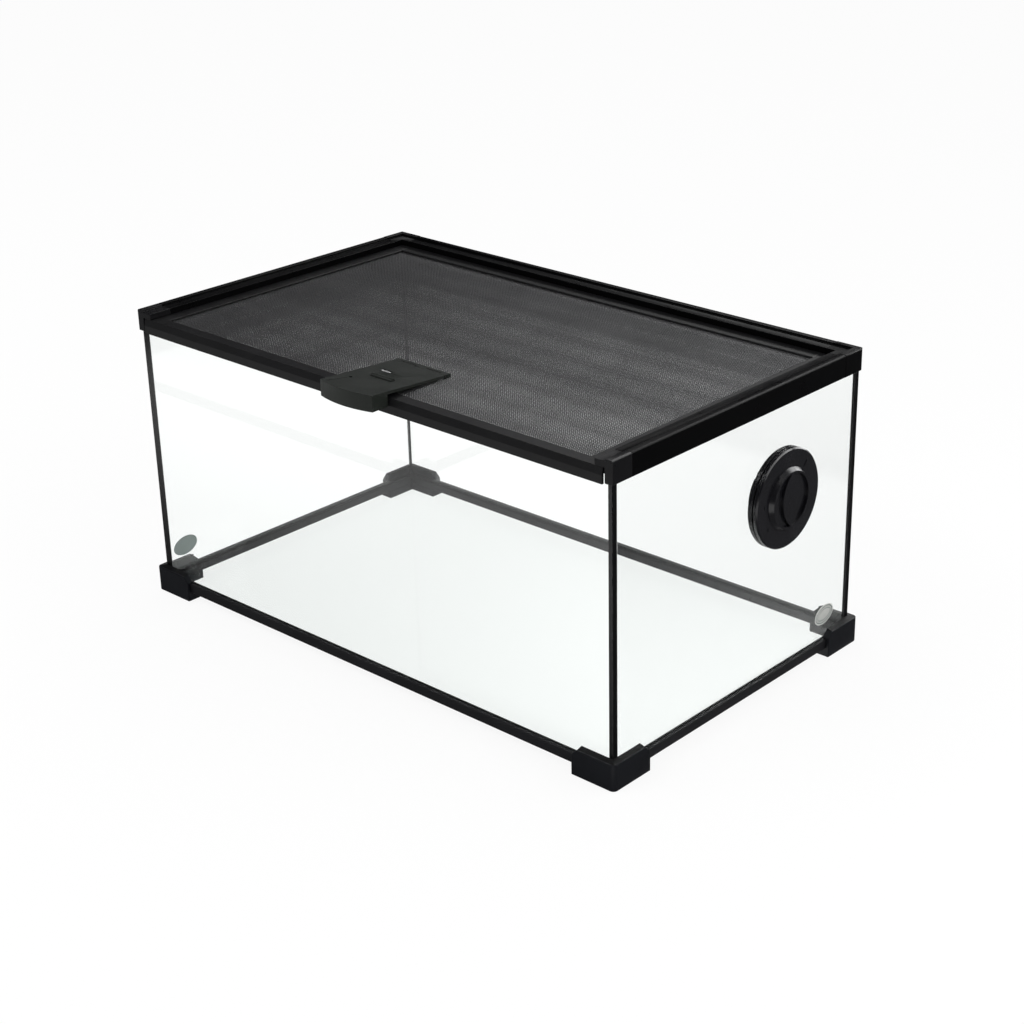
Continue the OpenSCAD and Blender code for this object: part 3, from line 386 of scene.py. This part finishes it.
def node_bmesh(name, cuts=()):
    """A merged copy of a CAD node, whose flat faces without a hole are each made one.

    The cuts are (axis, place) planes through its holes, which part the faces round them.
    """
    bm = bmesh.new()
    bm.from_mesh(nodes[name].data)
    bmesh.ops.remove_doubles(bm, verts=bm.verts, dist=MERGE_REACH)
    for axis, spot in cuts:
        normal, point = Vector((0, 0, 0)), Vector((0, 0, 0))
        normal[axis], point[axis] = 1, spot
        everything = bm.verts[:] + bm.edges[:] + bm.faces[:]
        cut = bmesh.ops.bisect_plane(
            bm, geom=everything, dist=CUT_REACH, plane_co=point, plane_no=normal
        )
        for edge in cut["geom_cut"]:
            if isinstance(edge, bmesh.types.BMEdge):
                edge.seam = True
    bm.normal_update()
    for items in (bm.verts, bm.edges, bm.faces):
        items.index_update()
    seen = [False] * len(bm.faces)
    regions = []
    for face in bm.faces:
        if not seen[face.index]:
            region = flat_region(bm, face, seen)
            if len(region) > 1 and has_one_outline(region):
                regions.append(region)
    for region in regions:
        bmesh.ops.dissolve_faces(bm, faces=region)
    return bm


def pane(name, material, cuts=()):
    """A glass pane with ground edges, a hair smaller than its seat so that no faces coincide."""
    low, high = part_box(name)
    middle = (low + high) / 2
    size = high - low
    bm = node_bmesh(name, cuts)
    for v in bm.verts:
        for axis in range(3):
            share = 1 - 2 * SEAT_AIR / size[axis]
            v.co[axis] = middle[axis] + (v.co[axis] - middle[axis]) * share
    piece = mesh_piece(bm, name + "_pane", "tank", material, [name])
    return rounded(piece, 0.25 * MM, 1)


def dressed(name, material, width, segments=2, cuts=()):
    """A CAD node's shape as a moulded piece with rounded edges."""
    body = nodes[name]["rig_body"]
    piece = mesh_piece(node_bmesh(name, cuts), name + "_skin", body, material, [name])
    return rounded(piece, width, segments)


port_middle = sum(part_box("port_base"), Vector()) / 2
PORT_CUTS = ((1, port_middle.y), (2, port_middle.z))
# Turns in degrees of the index mark and the two dots on the cap, and their distance from its middle
CAP_MARKS = ((48.0, 18.1 * MM), (176.0, 18.4 * MM), (214.0, 18.4 * MM))
CAP_CUTS = PORT_CUTS + tuple(
    (2, port_middle.z + reach * math.sin(math.radians(turn))) for turn, reach in CAP_MARKS
)
# Distances of the thumb rib in front of the latch's stud, and of the round mark to its left
RIB_REACH = 8.88 * MM
MARK_REACH = 4.2 * MM
# Planes through the stud, the rib and the mark
stud_middle = sum(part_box("latch_stud"), Vector()) / 2
BASE_CUTS = ((0, stud_middle.x), (1, stud_middle.y))
LEVER_CUTS = BASE_CUTS + ((1, stud_middle.y - RIB_REACH), (0, stud_middle.x - MARK_REACH))

for name in ("glass_front", "glass_back", "glass_left"):
    pane(name, GLASS)
pane("glass_right", GLASS, PORT_CUTS)
pane("glass_floor", FLOOR_GLASS)
for side in ("front", "back", "left", "right"):
    dressed("bottom_rail_" + side, RAIL, 0.3 * MM)
for corner in ("front_left", "front_right", "rear_left", "rear_right"):
    dressed("foot_" + corner, FOOT, 0.7 * MM, 3)
for name in (
    "top_rail_left", "top_rail_right", "top_rail_back", "rim_corner_left", "rim_corner_right"
):
    dressed(name, RIM, 0.25 * MM)
for side in ("left", "right"):
    dressed("end_cap_" + side, CAP_END, 0.5 * MM, 3)
for name in ("lid_front_bar", "lid_back_bar", "lid_bar_left", "lid_bar_right"):
    dressed(name, LID, 0.3 * MM)
dressed("latch_lever", LATCH, 0.4 * MM, 2, LEVER_CUTS)
for name in ("latch_base", "latch_backer"):
    dressed(name, LATCH, 0.12 * MM, 2, BASE_CUTS)
for name in ("port_base", "port_nut", "port_knob", "knob_lug_bar"):
    dressed(name, PORT, 0.4 * MM, 2, PORT_CUTS)
dressed("port_cap", PORT, 0.3 * MM, 2, CAP_CUTS)
# Nodes that keep their CAD shape
for name, material in (
    ("lid_joint_keys", LID),
    ("mesh_spline", RUBBER),
    ("port_gasket", RUBBER),
    ("cap_seal", RUBBER),
    ("floor_seal", SILICONE),
    ("foot_seals", SILICONE),
    ("latch_pin", STEEL),
    ("latch_stud", STEEL),
    ("latch_rivets", STEEL),
    ("bar_rivets", STEEL),
    ("knob_screw", STEEL),
):
    mesh = nodes[name].data
    mesh.materials.clear()
    mesh.materials.append(material)


# Woven mesh of the lid: wires along the length lie below wires along the depth
LONG_PITCH = 1.15 * MM
CROSS_PITCH = 1.15 * MM
LONG_WIRE_R = 0.25 * MM
CROSS_WIRE_R = 0.235 * MM
# Unevenness of the spacing, as shares of the pitch
LONG_DRIFT = 0.12
CROSS_DRIFT = 0.08
# Distance of the outer wires' axes from the edge of the cloth
CLOTH_EDGE = LONG_WIRE_R * 1.6


def wire(bm, start, end, radius):
    """One straight wire with six sides from start to end."""
    along = end - start
    turn = along.to_track_quat("Z", "Y").to_matrix().to_4x4()
    matrix = Matrix.Translation((start + end) / 2) @ turn
    bmesh.ops.create_cone(
        bm, cap_ends=True, segments=6, radius1=radius, radius2=radius,
        depth=along.length, matrix=matrix,
    )


def drift(i, seed):
    """Uneven spacing of wire i, between -1 and 1, mostly small."""
    slow = 0.35 * math.sin(i * 0.37 + seed) + 0.35 * math.sin(i * 0.113 + 2.1 * seed)
    jumps = math.sin(i * 12.9898 + seed * 78.233) * 43758.5453
    return slow + 0.3 * (2 * (jumps - math.floor(jumps)) - 1)


def wire_places(start, end, pitch, unevenness, seed):
    """Places of wires from start to end, whose spacing drifts and jumps a little."""
    count = round((end - start) / pitch)
    gaps = [1 + unevenness * drift(i, seed) for i in range(count)]
    share = (end - start) / sum(gaps)
    places = [start]
    for gap in gaps:
        places.append(places[-1] + gap * share)
    return places


def wire_cloth():
    """The cloth, cut out under the front bar where the tab of the latch's backing plate stands."""
    low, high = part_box("lid_mesh")
    backer_low, backer_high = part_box("latch_backer")
    window_low, window_high = backer_low.x - CLOTH_EDGE, backer_high.x + CLOTH_EDGE
    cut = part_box("lid_front_bar")[1].y
    bm = bmesh.new()
    z = high.z - CROSS_WIRE_R
    for x in wire_places(low.x + CLOTH_EDGE, high.x - CLOTH_EDGE, CROSS_PITCH, CROSS_DRIFT, 1.0):
        start = cut if window_low < x < window_high else low.y
        wire(bm, Vector((x, start, z)), Vector((x, high.y, z)), CROSS_WIRE_R)
    z = low.z + LONG_WIRE_R
    for y in wire_places(low.y + CLOTH_EDGE, high.y - CLOTH_EDGE, LONG_PITCH, LONG_DRIFT, 2.0):
        spans = [(low.x, window_low), (window_high, high.x)] if y < cut else [(low.x, high.x)]
        for start, end in spans:
            wire(bm, Vector((start, y, z)), Vector((end, y, z)), LONG_WIRE_R)
    return mesh_piece(bm, "wire_cloth", "lid", WIRE, ["lid_mesh"], 75.0)


wire_cloth()


# Silicone of the upright corners: the joint under the long pane's end and a hollow fillet inside
FILLET_LEG = 0.7 * MM
# Steps of the fillet's arc, rings along its height, and how far its face waves in and out
FILLET_STEPS = 6
FILLET_RINGS = 40
FILLET_WAVE = 0.12 * MM
# Distance that the joint keeps inside the front pane's outer face
JOINT_INSET = 0.3 * MM
# How far the silicone reaches into the panes, or stays inside their faces
SKIN = 0.05 * MM


def upright_strip(bm, outline, base, top, rings, wave):
    """Stands an outline of (x, y, soft) up from base to top, parted by rings.

    The wave is how far its soft points move in and out.
    """
    foot = bm.faces.new([bm.verts.new((x, y, base)) for x, y, soft in outline])
    soft = [(x, y) for x, y, is_soft in outline if is_soft]
    made = bmesh.ops.extrude_face_region(bm, geom=[foot])["geom"]
    head = [v for v in made if isinstance(v, bmesh.types.BMVert)]
    bmesh.ops.translate(bm, verts=head, vec=(0, 0, top - base))
    uprights = [e for v in head for e in v.link_edges if e.other_vert(v) not in head]
    ringed = bmesh.ops.subdivide_edges(bm, edges=uprights, cuts=rings, use_grid_fill=True)
    for v in ringed["geom_inner"]:
        if not isinstance(v, bmesh.types.BMVert):
            continue
        if any(abs(v.co.x - x) + abs(v.co.y - y) < SKIN / 5 for x, y in soft):
            push = wave * drift(round((v.co.z - base) / MM), 3.0 + 40.0 * (v.co.x + 2 * v.co.y))
            v.co.x -= math.copysign(push, v.co.x)
            v.co.y -= math.copysign(push, v.co.y)


def upright_seals():
    """Joint and fillet in each of the four upright corners."""
    front_low, front_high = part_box("glass_front")
    end_low, end_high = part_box("glass_right")
    x_in, x_out = end_low.x, end_high.x - SEAT_AIR
    y_in, y_out = -front_high.y, -front_low.y - JOINT_INSET
    floor_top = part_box("glass_floor")[1].z
    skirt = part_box("top_rail_back")[0].z
    joint = [
        (x_in, y_in + SKIN),
        (x_out - SKIN, y_in + SKIN),
        (x_out - SKIN, y_out),
        (x_out, y_out),
        (x_out, end_high.y - SKIN),
        (x_in, end_high.y - SKIN),
    ]
    bm = bmesh.new()
    for side in (-1, 1):
        for end in (-1, 1):
            top = end_high.z if end > 0 else front_high.z
            outline = [(x * side, y * end, False) for x, y in joint]
            upright_strip(bm, outline, end_low.z + SKIN, top - SKIN, 1, 0.0)
            outline = [((x_in + SKIN) * side, (y_in + SKIN) * end, False)]
            for i in range(FILLET_STEPS + 1):
                turn = math.pi / 2 * i / FILLET_STEPS
                x = x_in - FILLET_LEG * (1 - math.sin(turn))
                y = y_in - FILLET_LEG * (1 - math.cos(turn))
                outline.append((x * side, y * end, 0 < i < FILLET_STEPS))
            upright_strip(bm, outline, floor_top, skirt, FILLET_RINGS, FILLET_WAVE)
    bmesh.ops.recalc_face_normals(bm, faces=bm.faces)
    return mesh_piece(
        bm, "upright_silicone", "tank", SILICONE, ["corner_seals"], 40.0
    )


upright_seals()


# Oval stickers on the end panes: a raised rim round a sunk bare face
STICKER_AXES = (7.5 * MM, 4.95 * MM)
STICKER_TILT = math.radians(8.0)
# Thickness of the film under the rings, as a share of the CAD sticker's
FILM_SHARE = 0.6


def oval_sticker(name, finishes, steps):
    """A film whose rings are steps of (inset, rise, finish) from its edge inward, in mm."""
    low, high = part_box(name)
    middle = (low + high) / 2
    side = 1 if middle.x > 0 else -1
    inner = low.x if side > 0 else high.x
    bm = bmesh.new()
    bmesh.ops.create_circle(bm, cap_ends=True, segments=72, radius=1.0)
    bmesh.ops.scale(bm, verts=bm.verts, vec=(*STICKER_AXES, 1.0))
    bmesh.ops.rotate(bm, verts=bm.verts, matrix=Matrix.Rotation(STICKER_TILT, 3, "Z"))
    # The flat oval lies in x and y: its long axis goes along the tank's depth, its short one up
    upright = Matrix(((0, 0, side), (1, 0, 0), (0, 1, 0)))
    bmesh.ops.rotate(bm, verts=bm.verts, matrix=upright)
    bmesh.ops.translate(bm, verts=bm.verts, vec=(inner, middle.y, middle.z))
    top = bmesh.ops.extrude_face_region(bm, geom=bm.faces[:])["geom"]
    face = next(f for f in top if isinstance(f, bmesh.types.BMFace))
    bmesh.ops.translate(bm, verts=face.verts[:], vec=(side * FILM_SHARE * (high.x - low.x), 0, 0))
    bmesh.ops.recalc_face_normals(bm, faces=bm.faces)
    for inset, rise, finish in steps:
        ring = bmesh.ops.inset_region(
            bm, faces=[face], thickness=inset * MM, depth=rise * MM, use_even_offset=True
        )
        for quad in ring["faces"]:
            quad.material_index = finish
    return mesh_piece(bm, name + "_oval", "tank", finishes, [name], 40.0)


oval_sticker(
    "sticker_right", [FOIL_FACE, FOIL_RIM, FOIL_DARK],
    [
        (0.08, 0.07, 1), (0.6, 0.0, 1), (0.1, -0.07, 2), (0.4, 0.0, 2), (0.1, 0.05, 1),
        (0.75, 0.0, 0), (0.1, -0.04, 2), (0.28, 0.0, 2), (0.1, 0.04, 1),
    ],
)
oval_sticker(
    "sticker_left", [FOIL_BACK, FOIL_DARK],
    [(0.08, 0.07, 1), (0.4, 0.0, 1), (0.12, -0.07, 1), (0.5, 0.0, 0)],
)


# ---------------------------------------------------------------- studio
# Extra light given to what is seen through panes
PANE_LOSS = 0.16
FRONTWARD, REARWARD = (0.0, -1.0, 0.0), (0.0, 1.0, 0.0)
RIGHTWARD, UPWARD = (1.0, 0.0, 0.0), (0.0, 0.0, 1.0)
# Tones of the floor's painted shade and painted dark patches, which only reflections show, and of
# the world's dark parts for reflections
PAINTED_DARK_GREY = (0.12, 0.12, 0.124)
NIGHT = (0.006, 0.006, 0.0066)


def seen(n, l):
    """1 where the camera looks, also through glass."""
    path = n.new("ShaderNodeLightPath")
    kinds = path.outputs["Is Camera Ray"], path.outputs["Is Transmission Ray"]
    return calc(n, l, "MAXIMUM", *kinds)


def through_glass(n, l):
    """1, or a little more where the ray came through a pane, which keeps some of its light."""
    path = n.new("ShaderNodeLightPath")
    return calc(n, l, "MULTIPLY_ADD", path.outputs["Is Transmission Ray"], PANE_LOSS, 1.0)


def reflected(n, l):
    """1 where the ray was reflected on its way, and 0 where it only came through glass."""
    path = n.new("ShaderNodeLightPath")
    kinds = path.outputs["Glossy Depth"], path.outputs["Is Glossy Ray"]
    return calc(n, l, "MULTIPLY", *kinds, clamp=True)


def beyond(n, l, vector, normal, near, far):
    """0 before the distance near along normal, 1 past far."""
    dot = n.new("ShaderNodeVectorMath")
    dot.operation = "DOT_PRODUCT"
    dot.inputs[1].default_value = normal
    l.new(vector, dot.inputs[0])
    ranged = n.new("ShaderNodeMapRange")
    ranged.interpolation_type = "SMOOTHSTEP"
    ranged.inputs["From Min"].default_value = near
    ranged.inputs["From Max"].default_value = far
    l.new(dot.outputs["Value"], ranged.inputs["Value"])
    return ranged.outputs["Result"]


def floor():
    """A pale floor, white to the eye and through glass, with painted shade and painted dark patches
    that only reflections show.
    """
    bm = bmesh.new()
    bmesh.ops.create_grid(bm, x_segments=1, y_segments=1, size=9.0)
    mesh = bpy.data.meshes.new("floor")
    bm.to_mesh(mesh)
    bm.free()
    piece = bpy.data.objects.new("floor", mesh)
    bpy.context.scene.collection.objects.link(piece)
    material, n, l, shader = new_material("pale_floor")
    mesh.materials.append(material)
    shader.inputs["Base Color"].default_value = (0.9, 0.9, 0.9, 1)
    shader.inputs["Roughness"].default_value = 0.9
    shader.inputs["Specular IOR Level"].default_value = 0.0
    white = n.new("ShaderNodeEmission")
    white.inputs["Color"].default_value = (1, 1, 1, 1)
    l.new(through_glass(n, l), white.inputs["Strength"])
    share = calc(n, l, "MULTIPLY", seen(n, l), 0.88)
    clear = blend(n, l, share, shader.outputs["BSDF"], white.outputs["Emission"])
    spot = n.new("ShaderNodeTexCoord").outputs["Object"]
    # Painted shade: in front of the tank the mirrored floor is dark, and grows paler with the
    # distance
    painted_front_shade = tint(n, l, beyond(n, l, spot, FRONTWARD, 0.09, 0.26), (0.1, 0.1, 0.1), (0.6, 0.6, 0.6))
    tone = tint(n, l, beyond(n, l, spot, REARWARD, -0.09, -0.07), painted_front_shade, WHITE)
    # Painted shade: right of the tank the mirrored floor is dark beside the end pane, and white
    # before that
    painted_side_shade = tint(n, l, beyond(n, l, spot, REARWARD, -0.12, -0.09), WHITE, PAINTED_DARK_GREY)
    tone = tint(n, l, beyond(n, l, spot, RIGHTWARD, 0.151, 0.157), tone, painted_side_shade)
    # Painted reflection: far in front the mirrored floor is dark again, a dark area for the panes
    # to mirror
    tone = tint(n, l, beyond(n, l, spot, (-0.25, -0.97, 0.0), 0.37, 0.47), tone, PAINTED_DARK_GREY)
    mirrored = n.new("ShaderNodeEmission")
    l.new(tone, mirrored.inputs["Color"])
    surface = blend(n, l, reflected(n, l), clear, mirrored.outputs["Emission"])
    l.new(surface, n["Material Output"].inputs["Surface"])


def world():
    """White behind the object, dark round the camera for reflections, plain light for the rest."""
    sky = bpy.data.worlds.new("studio")
    bpy.context.scene.world = sky
    sky.use_nodes = True
    n, l = sky.node_tree.nodes, sky.node_tree.links
    plain = n["Background"]
    plain.inputs["Color"].default_value = (1, 1, 1, 1)
    plain.inputs["Strength"].default_value = 0.8
    white = n.new("ShaderNodeBackground")
    white.inputs["Color"].default_value = (1, 1, 1, 1)
    l.new(through_glass(n, l), white.inputs["Strength"])
    clear = blend(n, l, seen(n, l), plain.outputs["Background"], white.outputs["Background"])
    way = n.new("ShaderNodeTexCoord").outputs["Generated"]
    # For reflections it is bright high up behind the tank and straight behind it
    high = beyond(n, l, way, UPWARD, 0.4, 0.5)
    straight = beyond(n, l, way, REARWARD, 0.88, 0.93)
    tone = tint(n, l, beyond(n, l, way, REARWARD, 0.54, 0.84), NIGHT, WHITE)
    tone = tint(n, l, calc(n, l, "MAXIMUM", high, straight), NIGHT, tone)
    mirrored = n.new("ShaderNodeBackground")
    l.new(tone, mirrored.inputs["Color"])
    mirrored.inputs["Strength"].default_value = 5.0
    surface = blend(n, l, reflected(n, l), clear, mirrored.outputs["Background"])
    l.new(surface, n["World Output"].inputs["Surface"])


def softbox(name, spot, aim, size, power):
    """A soft lamp of some watts at spot, turned to aim."""
    lamp = bpy.data.lights.new(name, "AREA")
    lamp.shape = "RECTANGLE"
    lamp.size, lamp.size_y = size
    lamp.energy = power
    holder = bpy.data.objects.new(name, lamp)
    bpy.context.scene.collection.objects.link(holder)
    holder.location = spot
    holder.rotation_mode = "QUATERNION"
    holder.rotation_quaternion = (Vector(aim) - Vector(spot)).to_track_quat("-Z", "Y")


def camera():
    """The camera that took the photograph."""
    data = bpy.data.cameras.new("camera")
    data.sensor_width = 36.0
    data.lens = CAMERA_LENS
    data.shift_x, data.shift_y = CAMERA_SHIFT
    holder = bpy.data.objects.new("camera", data)
    bpy.context.scene.collection.objects.link(holder)
    a, e = math.radians(CAMERA_AZIMUTH), math.radians(CAMERA_ELEVATION)
    back = Vector((math.sin(a) * math.cos(e), -math.cos(a) * math.cos(e), math.sin(e)))
    aim = (-back).to_track_quat("-Z", "Y").to_matrix().to_4x4()
    roll = Matrix.Rotation(math.radians(CAMERA_ROLL), 4, "Z")
    holder.matrix_world = Matrix.Translation(CAMERA_PLACE) @ aim @ roll
    bpy.context.scene.camera = holder


floor()
world()
softbox("key", (-0.5, -0.9, 1.3), (0, 0, 0.1), (0.9, 0.6), 7.0)
softbox("fill", (1.1, 0.2, 0.9), (0, 0, 0.1), (0.8, 0.8), 4.0)
softbox("mesh_light", (0.34, 0.22, 0.30), (0.1, 0.05, 0.15), (0.2, 0.12), 0.2)
camera()
bpy.context.scene.view_settings.view_transform = "Standard"
